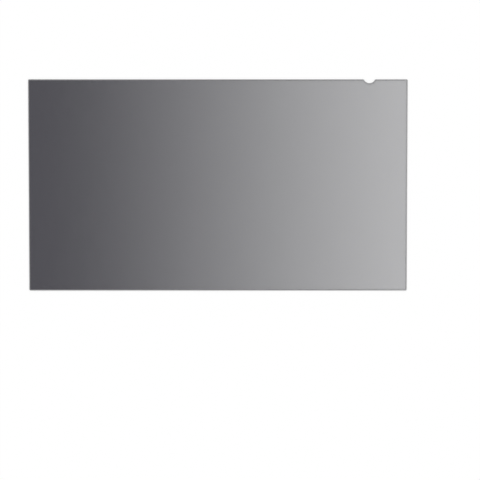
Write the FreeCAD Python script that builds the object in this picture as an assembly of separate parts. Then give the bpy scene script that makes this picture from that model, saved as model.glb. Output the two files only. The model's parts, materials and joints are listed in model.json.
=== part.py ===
import FreeCAD, Part
import math
import os

# Privacy filter for a widescreen monitor: one stiff sheet of laminated tinted plastic, cut to the
# visible area of the screen that it covers, with a finger notch in the edge that is at the top in use.
# The sheet lies flat on its rear face. Seen from the front, X runs to the right and Y to the top edge,
# and Z comes out of the front face. The origin is the middle of the rear face. Sizes are millimetres.

# Sheet, for a 16:9 screen with a diagonal of 31.5 inches
SHEET_WIDTH = 698.0
SHEET_HEIGHT = 393.0
SHEET_THICKNESS = 0.8
CORNER_RADIUS = 2.0

# Cut edge, eased on both faces all the way round, but never by more than this share of the thickness
EDGE_ROUND = 0.2
EDGE_ROUND_SHARE = 0.4

# Finger notch, an arc cut into the top edge, with its two lips blended into that edge
NOTCH_WIDTH = 21.0
NOTCH_DEPTH = 7.0
NOTCH_FROM_RIGHT = 70.0
NOTCH_LIP_RADIUS = 2.0

# Two points closer than this are the same point
SAME_POINT = 1e-6


def arc_points(x, y, radius, start_angle, end_angle):
    """Start, middle and end of an arc about (x, y), with its angles in degrees."""
    points = []
    for angle in (start_angle, (start_angle + end_angle) / 2, end_angle):
        turn = math.radians(angle)
        points.append(FreeCAD.Vector(x + radius * math.cos(turn), y + radius * math.sin(turn), 0))
    return points


def corner_arc(side, end, start_angle):
    """A rounded corner of the sheet: side is 1 at the right, end is 1 at the top."""
    x = side * (SHEET_WIDTH / 2 - CORNER_RADIUS)
    y = end * (SHEET_HEIGHT / 2 - CORNER_RADIUS)
    return arc_points(x, y, CORNER_RADIUS, start_angle, start_angle + 90)


def notch_arcs():
    """The right lip, the hollow and the left lip of the finger notch, each tangent to the next."""
    top = SHEET_HEIGHT / 2
    middle = SHEET_WIDTH / 2 - NOTCH_FROM_RIGHT
    radius = (NOTCH_WIDTH ** 2 / 4 + NOTCH_DEPTH ** 2) / (2 * NOTCH_DEPTH)

    # A lip's centre lies its own radius below the top edge and touches the hollow's circle from outside
    drop = radius - NOTCH_DEPTH + NOTCH_LIP_RADIUS
    reach = math.sqrt((radius + NOTCH_LIP_RADIUS) ** 2 - drop ** 2)
    lip_y = top - NOTCH_LIP_RADIUS
    lip_angle = math.degrees(math.atan2(drop, -reach))
    return [
        arc_points(middle + reach, lip_y, NOTCH_LIP_RADIUS, 90, lip_angle),
        arc_points(middle, lip_y + drop, radius, lip_angle - 180, -lip_angle),
        arc_points(middle - reach, lip_y, NOTCH_LIP_RADIUS, 180 - lip_angle, 90),
    ]


def sheet_outline():
    """The closed outline, anticlockwise: arcs, with straight edges wherever two arcs don't meet."""
    arcs = [corner_arc(1, -1, -90), corner_arc(1, 1, 0)]
    arcs += notch_arcs()
    arcs += [corner_arc(-1, 1, 90), corner_arc(-1, -1, 180)]

    edges = []
    for index, (start, middle, end) in enumerate(arcs):
        edges.append(Part.Arc(start, middle, end).toShape())
        next_start = arcs[(index + 1) % len(arcs)][0]
        if end.distanceToPoint(next_start) > SAME_POINT:
            edges.append(Part.makeLine(end, next_start))
    return Part.Wire(edges)


def filter_sheet():
    """The cut sheet, with the edges of its front and rear faces eased."""
    blank = Part.Face(sheet_outline()).extrude(FreeCAD.Vector(0, 0, SHEET_THICKNESS))
    face_edges = [edge for edge in blank.Edges if edge.BoundBox.ZLength < SAME_POINT]
    edge_round = min(EDGE_ROUND, EDGE_ROUND_SHARE * SHEET_THICKNESS)
    return blank.makeFillet(edge_round, face_edges)


os.makedirs("parts", exist_ok=True)
filter_sheet().exportStep("parts/filter_sheet.step")
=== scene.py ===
"""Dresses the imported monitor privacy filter: one tinted see-through sheet on a white studio floor."""
import json
import math

import bmesh
import bpy
from bpy.props import FloatProperty, FloatVectorProperty, IntProperty, PointerProperty
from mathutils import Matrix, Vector


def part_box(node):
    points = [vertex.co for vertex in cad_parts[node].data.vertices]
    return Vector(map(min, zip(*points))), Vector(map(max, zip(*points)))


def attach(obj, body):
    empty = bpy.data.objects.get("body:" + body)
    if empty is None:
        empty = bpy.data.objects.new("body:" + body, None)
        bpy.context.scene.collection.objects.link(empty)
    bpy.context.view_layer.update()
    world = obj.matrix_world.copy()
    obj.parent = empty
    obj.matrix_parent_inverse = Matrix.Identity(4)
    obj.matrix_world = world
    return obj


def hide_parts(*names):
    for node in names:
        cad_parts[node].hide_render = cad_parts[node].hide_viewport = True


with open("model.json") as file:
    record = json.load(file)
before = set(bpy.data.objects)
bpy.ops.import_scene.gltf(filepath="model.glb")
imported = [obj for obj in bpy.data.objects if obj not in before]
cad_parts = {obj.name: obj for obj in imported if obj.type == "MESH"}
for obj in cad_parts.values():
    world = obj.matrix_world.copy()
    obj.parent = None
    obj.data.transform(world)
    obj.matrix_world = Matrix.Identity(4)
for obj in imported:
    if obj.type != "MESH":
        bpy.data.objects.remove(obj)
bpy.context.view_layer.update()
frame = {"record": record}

bl_info = {
    "name": "Monitor Privacy Filter",
    "version": (1, 0, 0),
    "blender": (4, 5, 0),
    "location": "3D View > Sidebar > Privacy Filter",
    "description": "Builds a tinted privacy filter sheet with a finger notch, and a studio to show it in",
    "category": "Add Mesh",
}

# Axes across the sheet's width and through its thickness
ACROSS, THROUGH = 0, 2

# The sheet and its finger notch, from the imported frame
SHEET_NODE = "filter_sheet"
SHEET_LOW, SHEET_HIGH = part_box(SHEET_NODE)
OPENINGS = {opening["name"]: opening["box_m"] for opening in frame["record"]["physics"]["openings"]}
NOTCH_MIDDLE = sum(corner[ACROSS] for corner in OPENINGS["finger_notch"]) / 2

# Material slots of the sheet
FRONT, REAR, EDGE = range(3)

# How often light that comes back from behind the sheet has passed the sheet, and one of its two faces
SHEET_PASSES, FACE_PASSES = 2, 4

# Sockets of a Mix node that blends colours
MIX_SHARE, MIX_FIRST, MIX_SECOND, MIX_RESULT = 0, 6, 7, 2

# Middle of the values that a noise gives
NOISE_MIDDLE = 0.5

# Two points closer than this are the same point
SAME_POINT = 1e-6

QUARTER_TURN = math.pi / 2

# Side of the square picture, in pixels
PICTURE_PIXELS = 480


# Settings

class SheetSettings(bpy.types.PropertyGroup):
    """Sizes of the cut sheet that its box doesn't give."""

    corner_radius: FloatProperty(
        name="Corner radius", description="Rounding of the four corners, seen from the front",
        default=0.002, min=0, unit="LENGTH")
    edge_round: FloatProperty(
        name="Edge rounding", description="Easing of the cut edge on both faces",
        default=0.0002, min=0, unit="LENGTH")
    rim_width: FloatProperty(
        name="Rim width", description="Width of the frosted margin along the cut edge",
        default=0.0017, min=0, unit="LENGTH")
    notch_width: FloatProperty(
        name="Notch width", description="Width of the finger notch at its mouth, without its rounded lips",
        default=0.021, min=0, unit="LENGTH")
    notch_depth: FloatProperty(
        name="Notch depth", description="Depth of the finger notch below the top edge",
        default=0.007, min=0, unit="LENGTH")
    lip_radius: FloatProperty(
        name="Notch lip radius", description="Rounding where the notch meets the top edge",
        default=0.002, min=0, unit="LENGTH")
    corner_steps: IntProperty(
        name="Corner steps", description="Straight sides along the arc of a corner",
        default=16, min=1)
    lip_steps: IntProperty(
        name="Notch lip steps", description="Straight sides along the arc of a lip",
        default=12, min=1)
    notch_steps: IntProperty(
        name="Notch steps", description="Straight sides along the arc of the notch, an even number",
        default=32, min=2)
    round_steps: IntProperty(
        name="Rounding steps", description="Faces across the rounding of the cut edge",
        default=4, min=1)
    panel_size: FloatProperty(
        name="Panel size", description="Largest side of the quads that make up the flat faces",
        default=0.036, min=0.001, unit="LENGTH")


class FilmSettings(bpy.types.PropertyGroup):
    """How the tinted film looks."""

    # Painted shade: the dark end, the clear end and the fade darken the sheet towards its left edge, a
    # darkening that the real film shows only at an angle
    dark_through: FloatProperty(
        name="Dark end", description="Share of light that passes the sheet at its left edge",
        default=0.088, min=0, max=1, subtype="FACTOR")
    clear_through: FloatProperty(
        name="Clear end", description="Share of light that passes the sheet at its right edge",
        default=0.67, min=0, max=1, subtype="FACTOR")
    fade_power: FloatProperty(
        name="Fade power", description="How far the fade is pushed towards the right edge, 1 being even",
        default=1.22, min=0.1, max=10)
    fade_ease: FloatProperty(
        name="Fade ease", description="How much the fade slows down near its two ends",
        default=0.2, min=0, max=1, subtype="FACTOR")
    # Painted shade and sheen: these colours follow the painted fade, from the dark end's grey to a faint
    # violet sheen painted at the clear end; the film's own colour is the same all over
    painted_dark_colour: FloatVectorProperty(
        name="Dark dye", description="Colour of the film itself at its left edge",
        default=(0.078, 0.076, 0.090), min=0, max=1, subtype="COLOR")
    painted_clear_sheen: FloatVectorProperty(
        name="Clear dye", description="Colour of the film itself at its right edge",
        default=(0.0, 0.0, 0.018), min=0, max=1, subtype="COLOR")
    painted_colour_power: FloatProperty(
        name="Dye power", description="How far the dark dye reaches, 1 being as far as the fade",
        default=0.7, min=0.1, max=10)
    shine: FloatProperty(
        name="Shine", description="Strength of the film's reflections, 0.5 being that of bare plastic",
        default=0.25, min=0, max=1, subtype="FACTOR")
    front_roughness: FloatProperty(
        name="Front roughness", description="Roughness of the anti-glare front",
        default=0.42, min=0, max=1, subtype="FACTOR")
    front_grain: FloatProperty(
        name="Front grain", description="Size of the fine bumps of the anti-glare front",
        default=0.0008, min=0.0001, unit="LENGTH")
    rear_roughness: FloatProperty(
        name="Rear roughness", description="Roughness of the smooth rear",
        default=0.16, min=0, max=1, subtype="FACTOR")
    rear_grain: FloatProperty(
        name="Rear waves", description="Size of the gentle waves of the smooth rear",
        default=0.008, min=0.0001, unit="LENGTH")
    relief: FloatProperty(
        name="Relief", description="Height of the bumps and waves",
        default=0.00002, min=0, unit="LENGTH")
    patch_size: FloatProperty(
        name="Patch size", description="Size of the patches whose roughness differs a little",
        default=0.04, min=0.001, unit="LENGTH")
    patch_contrast: FloatProperty(
        name="Patch contrast", description="How much the roughness differs between patches",
        default=0.1, min=0, max=1, subtype="FACTOR")


class EdgeSettings(bpy.types.PropertyGroup):
    """How the frosted rim and the cut edge look, with a highlight painted along the edge."""

    # Painted highlight: the pale grey of the rim and cut skins stands in partly for the cut edge catching
    # light, and its change from left to right follows the film's painted shade
    dark_frost_and_highlight: FloatVectorProperty(
        name="Dark skin", description="Colour of the frosted rim and of the cut skins at the left edge",
        default=(0.20, 0.20, 0.205), min=0, max=1, subtype="COLOR")
    clear_frost_and_highlight: FloatVectorProperty(
        name="Clear skin", description="Colour of the frosted rim and of the cut skins at the right edge",
        default=(0.33, 0.33, 0.335), min=0, max=1, subtype="COLOR")
    core: FloatVectorProperty(
        name="Core", description="Colour of the dark film that shows between the two cut skins",
        default=(0.13, 0.13, 0.14), min=0, max=1, subtype="COLOR")
    roughness: FloatProperty(
        name="Roughness", description="Roughness of the frosted rim and of the cut edge",
        default=0.7, min=0, max=1, subtype="FACTOR")
    mark_size: FloatProperty(
        name="Mark size", description="Size of the frosting, and width of the marks up the cut edge",
        default=0.0003, min=0.0001, unit="LENGTH")
    mark_depth: FloatProperty(
        name="Mark depth", description="Depth of the frosting and of the marks",
        default=0.00002, min=0, unit="LENGTH")
    mark_contrast: FloatProperty(
        name="Mark contrast", description="How much the marks change the colour and the roughness",
        default=0.7, min=0, max=1, subtype="FACTOR")


class StageSettings(bpy.types.PropertyGroup):
    """The floor, the light and the camera."""

    floor_colour: FloatVectorProperty(
        name="Floor", description="Colour of the studio floor",
        default=(1.0, 1.0, 1.0), min=0, max=1, subtype="COLOR")
    floor_size: FloatProperty(
        name="Floor size", description="Side of the square floor",
        default=60.0, min=0, unit="LENGTH")
    floor_gap: FloatProperty(
        name="Floor gap", description="Air under the sheet, which keeps its rear face off the floor",
        default=0.0003, min=0, unit="LENGTH")
    sky_share: FloatProperty(
        name="Sky share", description="Share of the floor's light that comes evenly from all round",
        default=0.6, min=0, max=1, subtype="FACTOR")
    lamp_spread: FloatProperty(
        name="Lamp spread", description="Angle that the main lamp fills, which softens its shadows",
        default=math.radians(30), min=0, subtype="ANGLE")
    lamp_lean: FloatProperty(
        name="Lamp lean", description="Angle of the main lamp from straight above",
        default=math.radians(38), min=0, subtype="ANGLE")
    lamp_turn: FloatProperty(
        name="Lamp turn", description="Direction of the main lamp, anticlockwise from the right",
        default=math.radians(140), subtype="ANGLE")
    camera_distance: FloatProperty(
        name="Camera distance", description="Distance from the camera to the point that it looks at",
        default=9.0, min=0, unit="LENGTH")
    camera_lean: FloatProperty(
        name="Camera lean", description="Angle of the camera from straight above, towards the notched edge",
        default=math.radians(8.4), min=0, subtype="ANGLE")
    sheet_pixels: FloatProperty(
        name="Sheet width", description="Width of the sheet in the picture",
        default=378.15, min=1, subtype="PIXEL")
    middle_pixel: FloatVectorProperty(
        name="Sheet middle", description="Pixel of the picture where the middle of the sheet lies",
        default=(217.85, 185.2), size=2)


# Shader maths

class Number:
    """A number in a shader. Arithmetic on it adds Math nodes."""

    def __init__(self, shader, socket):
        self.shader = shader
        self.socket = socket

    def combine(self, operation, first, second):
        """The two values, at least one of them a Number, joined by a Math node."""
        return self.shader.number("ShaderNodeMath", {"operation": operation}, {0: first, 1: second})

    def __add__(self, other):
        return self.combine("ADD", self, other)

    def __radd__(self, other):
        return self.combine("ADD", other, self)

    def __sub__(self, other):
        return self.combine("SUBTRACT", self, other)

    def __rsub__(self, other):
        return self.combine("SUBTRACT", other, self)

    def __mul__(self, other):
        return self.combine("MULTIPLY", self, other)

    def __rmul__(self, other):
        return self.combine("MULTIPLY", other, self)

    def __pow__(self, other):
        return self.combine("POWER", self, other)

    def __rpow__(self, other):
        return self.combine("POWER", other, self)


class Shader:
    """The emptied node tree of a material or of the world."""

    def __init__(self, owner):
        owner.use_nodes = True
        self.tree = owner.node_tree
        self.tree.nodes.clear()

    def node(self, kind, settings, sockets):
        """Add a node, set it up, then give its sockets their values or links."""
        node = self.tree.nodes.new(kind)
        for name, value in settings.items():
            setattr(node, name, value)
        for key, value in sockets.items():
            if isinstance(value, Number):
                value = value.socket
            if isinstance(value, bpy.types.NodeSocket):
                self.tree.links.new(value, node.inputs[key])
            else:
                node.inputs[key].default_value = value
        return node

    def number(self, kind, settings, sockets, output=0):
        """Add a node and take one of its outputs as a number."""
        return Number(self, self.node(kind, settings, sockets).outputs[output])

    def surface(self, kind, sockets):
        """Add a node that has no settings and take its first output."""
        return self.node(kind, {}, sockets).outputs[0]

    def mix_colours(self, share, first, second):
        """Blend of two colours: all first where the share is 0, all second where it is 1."""
        sockets = {MIX_SHARE: share, MIX_FIRST: first, MIX_SECOND: second}
        return self.node("ShaderNodeMix", {"data_type": "RGBA"}, sockets).outputs[MIX_RESULT]

    def place(self):
        """Place on the sheet, in metres."""
        return self.node("ShaderNodeTexCoord", {}, {}).outputs["Object"]

    def along(self, axis):
        """How far along the sheet a place is: 0 at its low end on that axis, and 1 at its high end."""
        value = self.number("ShaderNodeSeparateXYZ", {}, {"Vector": self.place()}, axis)
        span = {"Value": value, "From Min": SHEET_LOW[axis], "From Max": SHEET_HIGH[axis]}
        return self.number("ShaderNodeMapRange", {"clamp": True}, span)

    def noise(self, size):
        """Uneven values about 0, in patches of the given size that go straight through the sheet."""
        sockets = {"Vector": self.place(), "Scale": 1 / size}
        return self.number("ShaderNodeTexNoise", {"noise_dimensions": "2D"}, sockets, "Fac") - NOISE_MIDDLE

    def bump(self, height, depth):
        """Surface direction over a relief of the given depth."""
        return self.surface("ShaderNodeBump", {"Height": height, "Distance": depth})

    def finish(self, surface):
        """Show the surface on the material."""
        self.node("ShaderNodeOutputMaterial", {}, {"Surface": surface})


def rgba(colour):
    """The colour as a colour socket takes it, with nothing showing through."""
    return (*colour, 1.0)


# Finishes

def film_material(name, film, roughness, grain):
    """Tinted film with painted shade: all but closed at the sheet's left edge and clear at its right one, a
    darkening that the real film shows only at an angle, painted across the sheet.
    """
    material = bpy.data.materials.new(name)
    shader = Shader(material)

    # The painted shade's fade runs from 0 at the left edge to 1 at the right one, partly by the smooth step
    # formula
    even = shader.along(ACROSS) ** film.fade_power
    eased = even * even * (3 - 2 * even)
    fade = even + (eased - even) * film.fade_ease

    # Light that returns through the sheet grows evenly with the painted fade
    dark = film.dark_through ** SHEET_PASSES
    clear = film.clear_through ** SHEET_PASSES
    through = (dark + (clear - dark) * fade) ** (1 / FACE_PASSES)
    # The film's colour follows the painted fade, with a painted violet sheen at the clear end
    painted_colours = rgba(film.painted_dark_colour), rgba(film.painted_clear_sheen)
    shader.finish(shader.surface("ShaderNodeBsdfPrincipled", {
        "Base Color": shader.mix_colours(fade ** film.painted_colour_power, *painted_colours),
        "Roughness": roughness + film.patch_contrast * shader.noise(film.patch_size),
        "Specular IOR Level": film.shine,
        "Alpha": 1 - through,
        "Normal": shader.bump(shader.noise(grain), film.relief),
    }))
    return material


def edge_material(name, edge):
    """Frosted rim and cut edge with a painted highlight, and the dark film showing as a line half way up
    the edge.
    """
    material = bpy.data.materials.new(name)
    shader = Shader(material)

    # 1 half way up the edge, and 0 at the front and the rear
    up = shader.along(THROUGH)
    half_way = 4 * up * (1 - up)

    # The rim's grey is partly a painted highlight of the cut edge catching light, and grows lighter from
    # left to right with the film's painted shade
    frost_and_highlight = shader.mix_colours(shader.along(ACROSS), rgba(edge.dark_frost_and_highlight), rgba(edge.clear_frost_and_highlight))

    marks = shader.noise(edge.mark_size)
    change = edge.mark_contrast * marks
    shader.finish(shader.surface("ShaderNodeBsdfPrincipled", {
        "Base Color": shader.mix_colours(half_way ** 2 + change, frost_and_highlight, rgba(edge.core)),
        "Roughness": edge.roughness + change,
        "Normal": shader.bump(marks, edge.mark_depth),
    }))
    return material


# Sheet

def arc_points(x, y, radius, start, end, steps):
    """Points along an arc about (x, y), from one angle to another."""
    angles = [start + (end - start) * step / steps for step in range(steps + 1)]
    return [(x + radius * math.cos(angle), y + radius * math.sin(angle)) for angle in angles]


def notch_points(sheet, top, hollow, centre_y, lip):
    """The right lip, the hollow and the left lip of the finger notch, each tangent to the next."""
    lip_y = top - lip
    rise = centre_y - lip_y
    reach = math.sqrt((hollow + lip) ** 2 - rise ** 2)
    lip_angle = math.atan2(rise, -reach)
    right, left = NOTCH_MIDDLE + reach, NOTCH_MIDDLE - reach
    right_lip = arc_points(right, lip_y, lip, QUARTER_TURN, lip_angle, sheet.lip_steps)
    middle = arc_points(NOTCH_MIDDLE, centre_y, hollow, lip_angle - math.pi, -lip_angle, sheet.notch_steps)
    left_lip = arc_points(left, lip_y, lip, math.pi - lip_angle, QUARTER_TURN, sheet.lip_steps)
    return right_lip + middle[1:] + left_lip[1:]


def outline(sheet, inset, corner, lip):
    """The sheet's edge moved in by the inset, anticlockwise, with these radii at the corners and lips."""
    left, right = SHEET_LOW.x + inset, SHEET_HIGH.x - inset
    bottom, top = SHEET_LOW.y + inset, SHEET_HIGH.y - inset
    hollow = (sheet.notch_width ** 2 / 4 + sheet.notch_depth ** 2) / (2 * sheet.notch_depth)
    centre_y = SHEET_HIGH.y - sheet.notch_depth + hollow

    def corner_points(x, y, start):
        return arc_points(x, y, corner, start, start + QUARTER_TURN, sheet.corner_steps)

    return [
        *corner_points(right - corner, bottom + corner, -QUARTER_TURN),
        *corner_points(right - corner, top - corner, 0),
        *notch_points(sheet, top, hollow + inset, centre_y, lip),
        *corner_points(left + corner, top - corner, QUARTER_TURN),
        *corner_points(left + corner, bottom + corner, 2 * QUARTER_TURN),
    ]


def edge_rings(sheet):
    """Outline and height of each ring of points, from the rear film round the edge to the front film."""
    radius = sheet.edge_round
    turns = [QUARTER_TURN * step / sheet.round_steps for step in range(sheet.round_steps + 1)]
    rear = [(radius * (1 - math.sin(turn)), SHEET_LOW.z + radius * (1 - math.cos(turn))) for turn in turns]
    front = [(inset, SHEET_LOW.z + SHEET_HIGH.z - z) for inset, z in reversed(rear)]
    edge = [(outline(sheet, inset, sheet.corner_radius - inset, sheet.lip_radius - inset), z)
            for inset, z in rear + front]
    film = outline(sheet, sheet.rim_width, 0, 0)
    return [(film, SHEET_LOW.z), *edge, (film, SHEET_HIGH.z)]


def ring_verts(bm, points, z):
    """One vertex for each point of a ring. Points that meet, as at a sharp corner, share theirs."""
    verts = []
    for x, y in points:
        place = Vector((x, y, z))
        if verts and (verts[-1].co - place).length < SAME_POINT:
            verts.append(verts[-1])
        else:
            verts.append(bm.verts.new(place))
    return verts


def add_face(bm, verts, slot):
    """A face on the given vertices, of which some may come more than once."""
    face = bm.faces.new(list(dict.fromkeys(verts)))
    face.material_index = slot
    return face


def spaced(start, end, largest):
    """Evenly spaced places between two ends, no further apart than the largest gap."""
    count = math.ceil((end - start) / largest)
    return [start + (end - start) * step / count for step in range(1, count)]


def cut_into_panels(bm, size):
    """Cut the sheet into a grid of quads, with one line through the middle of the notch."""
    right_of_notch = spaced(NOTCH_MIDDLE, SHEET_HIGH.x, size)
    columns = [*spaced(SHEET_LOW.x, NOTCH_MIDDLE, size), NOTCH_MIDDLE, *right_of_notch]
    cuts = [(Vector((x, 0, 0)), Vector((1, 0, 0))) for x in columns]
    cuts += [(Vector((0, y, 0)), Vector((0, 1, 0))) for y in spaced(SHEET_LOW.y, SHEET_HIGH.y, size)]
    for place, normal in cuts:
        parts = [*bm.verts, *bm.edges, *bm.faces]
        bmesh.ops.bisect_plane(bm, geom=parts, dist=SAME_POINT, plane_co=place, plane_no=normal)

    # Only the panels beside the notch have more than four corners
    bmesh.ops.triangulate(bm, faces=[face for face in bm.faces if len(face.verts) > 4])


def sheet_mesh(sheet):
    """The closed sheet: rings of points round its edge, and flat faces cut into panels."""
    bm = bmesh.new()
    rings = [ring_verts(bm, points, z) for points, z in edge_rings(sheet)]
    last_strip = len(rings) - 2
    for strip, (low, high) in enumerate(zip(rings, rings[1:])):
        for index in range(len(low)):
            corners = (low[index - 1], low[index], high[index], high[index - 1])
            face = add_face(bm, corners, EDGE)
            face.smooth = 0 < strip < last_strip
    add_face(bm, reversed(rings[0]), REAR)
    add_face(bm, rings[-1], FRONT)
    cut_into_panels(bm, sheet.panel_size)
    mesh = bpy.data.meshes.new("privacy_film")
    bm.to_mesh(mesh)
    bm.free()
    return mesh


class PRIVACY_OT_film_sheet(bpy.types.Operator):
    """Build the tinted sheet in place of its plain solid"""

    bl_idname = "privacy.film_sheet"
    bl_label = "Tinted Sheet"

    def execute(self, context):
        scene = context.scene
        film = scene.privacy_film
        mesh = sheet_mesh(scene.privacy_sheet)
        for material in (
            film_material("anti_glare_front", film, film.front_roughness, film.front_grain),
            film_material("smooth_rear", film, film.rear_roughness, film.rear_grain),
            # The edge's finish holds the painted highlight along the rim
            edge_material("frosted_edge_and_highlight", scene.privacy_edge),
        ):
            mesh.materials.append(material)
        piece = bpy.data.objects.new("privacy_film", mesh)
        scene.collection.objects.link(piece)
        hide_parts(SHEET_NODE)
        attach(piece, "root")
        return {"FINISHED"}


# Studio

def make_floor(scene, stage):
    """A wide level floor, just below the sheet."""
    half = stage.floor_size / 2
    z = SHEET_LOW.z - stage.floor_gap
    corners = [(-half, -half, z), (half, -half, z), (half, half, z), (-half, half, z)]
    mesh = bpy.data.meshes.new("studio_floor")
    mesh.from_pydata(corners, [], [(0, 1, 2, 3)])
    material = bpy.data.materials.new("white_floor")
    shader = Shader(material)
    shader.finish(shader.surface("ShaderNodeBsdfDiffuse", {"Color": rgba(stage.floor_colour)}))
    mesh.materials.append(material)
    floor = bpy.data.objects.new("studio_floor", mesh)
    scene.collection.objects.link(floor)


def make_light(scene, stage):
    """Light from all round and one wide lamp, which together light a level surface to its own colour."""
    scene.world = bpy.data.worlds.new("studio_sky")
    shader = Shader(scene.world)
    path = shader.node("ShaderNodeLightPath", {}, {})
    seen = Number(shader, path.outputs["Is Camera Ray"])
    seen = seen + Number(shader, path.outputs["Is Glossy Ray"])
    seen = seen + Number(shader, path.outputs["Is Transmission Ray"])
    strength = stage.sky_share + (1 - stage.sky_share) * seen
    sky = shader.surface("ShaderNodeBackground", {"Color": rgba((1, 1, 1)), "Strength": strength})
    shader.node("ShaderNodeOutputWorld", {}, {"Surface": sky})

    # Straight above, a lamp of this kind with a strength of pi would light a white floor to 1
    lamp = bpy.data.lights.new("wide_lamp", "SUN")
    lamp.angle = stage.lamp_spread
    lamp.energy = (1 - stage.sky_share) * math.pi / math.cos(stage.lamp_lean)
    holder = bpy.data.objects.new("wide_lamp", lamp)
    holder.rotation_euler = (0, stage.lamp_lean, stage.lamp_turn)
    scene.collection.objects.link(holder)


def make_camera(scene, stage):
    """A long lens above the sheet, set so that the sheet fills its place in the picture."""
    metres_per_pixel = (SHEET_HIGH.x - SHEET_LOW.x) / stage.sheet_pixels
    right_of_sheet = PICTURE_PIXELS / 2 - stage.middle_pixel[0]
    below_sheet = PICTURE_PIXELS / 2 - stage.middle_pixel[1]
    lean = stage.camera_lean
    aim = Vector((right_of_sheet, -below_sheet / math.cos(lean), 0)) * metres_per_pixel
    back = Vector((0, math.sin(lean), math.cos(lean)))
    depth = stage.camera_distance + aim.y * math.sin(lean)

    camera = bpy.data.cameras.new("overhead_camera")
    camera.lens = camera.sensor_width * depth / (metres_per_pixel * PICTURE_PIXELS)
    camera.clip_end = 2 * stage.camera_distance
    holder = bpy.data.objects.new("overhead_camera", camera)
    holder.location = aim + back * stage.camera_distance
    holder.rotation_euler = (-lean, 0, 0)
    scene.collection.objects.link(holder)
    scene.camera = holder


class PRIVACY_OT_studio(bpy.types.Operator):
    """Lay a white floor under the sheet, light it softly and look down on it"""

    bl_idname = "privacy.studio"
    bl_label = "Studio"

    def execute(self, context):
        scene = context.scene
        stage = scene.privacy_stage
        scene.view_settings.view_transform = "Standard"
        make_floor(scene, stage)
        make_light(scene, stage)
        make_camera(scene, stage)
        return {"FINISHED"}


# Add-on

class PRIVACY_PT_panel(bpy.types.Panel):
    """Settings and steps of the privacy filter"""

    bl_idname = "PRIVACY_PT_panel"
    bl_label = "Privacy Filter"
    bl_space_type = "VIEW_3D"
    bl_region_type = "UI"
    bl_category = "Privacy Filter"

    def draw(self, context):
        for step, groups in STEPS:
            box = self.layout.box()
            box.operator(step.bl_idname)
            for group in groups:
                for name in GROUPS[group].__annotations__:
                    box.prop(getattr(context.scene, group), name)


GROUPS = {
    "privacy_sheet": SheetSettings,
    "privacy_film": FilmSettings,
    "privacy_edge": EdgeSettings,
    "privacy_stage": StageSettings,
}
STEPS = (
    (PRIVACY_OT_film_sheet, ("privacy_sheet", "privacy_film", "privacy_edge")),
    (PRIVACY_OT_studio, ("privacy_stage",)),
)
CLASSES = (*GROUPS.values(), PRIVACY_OT_film_sheet, PRIVACY_OT_studio, PRIVACY_PT_panel)


def register():
    for cls in CLASSES:
        bpy.utils.register_class(cls)
    for name, group in GROUPS.items():
        setattr(bpy.types.Scene, name, PointerProperty(type=group))


def unregister():
    for name in GROUPS:
        delattr(bpy.types.Scene, name)
    for cls in reversed(CLASSES):
        bpy.utils.unregister_class(cls)


def main():
    register()
    bpy.ops.privacy.film_sheet()
    bpy.ops.privacy.studio()


if __name__ == "__main__":
    main()
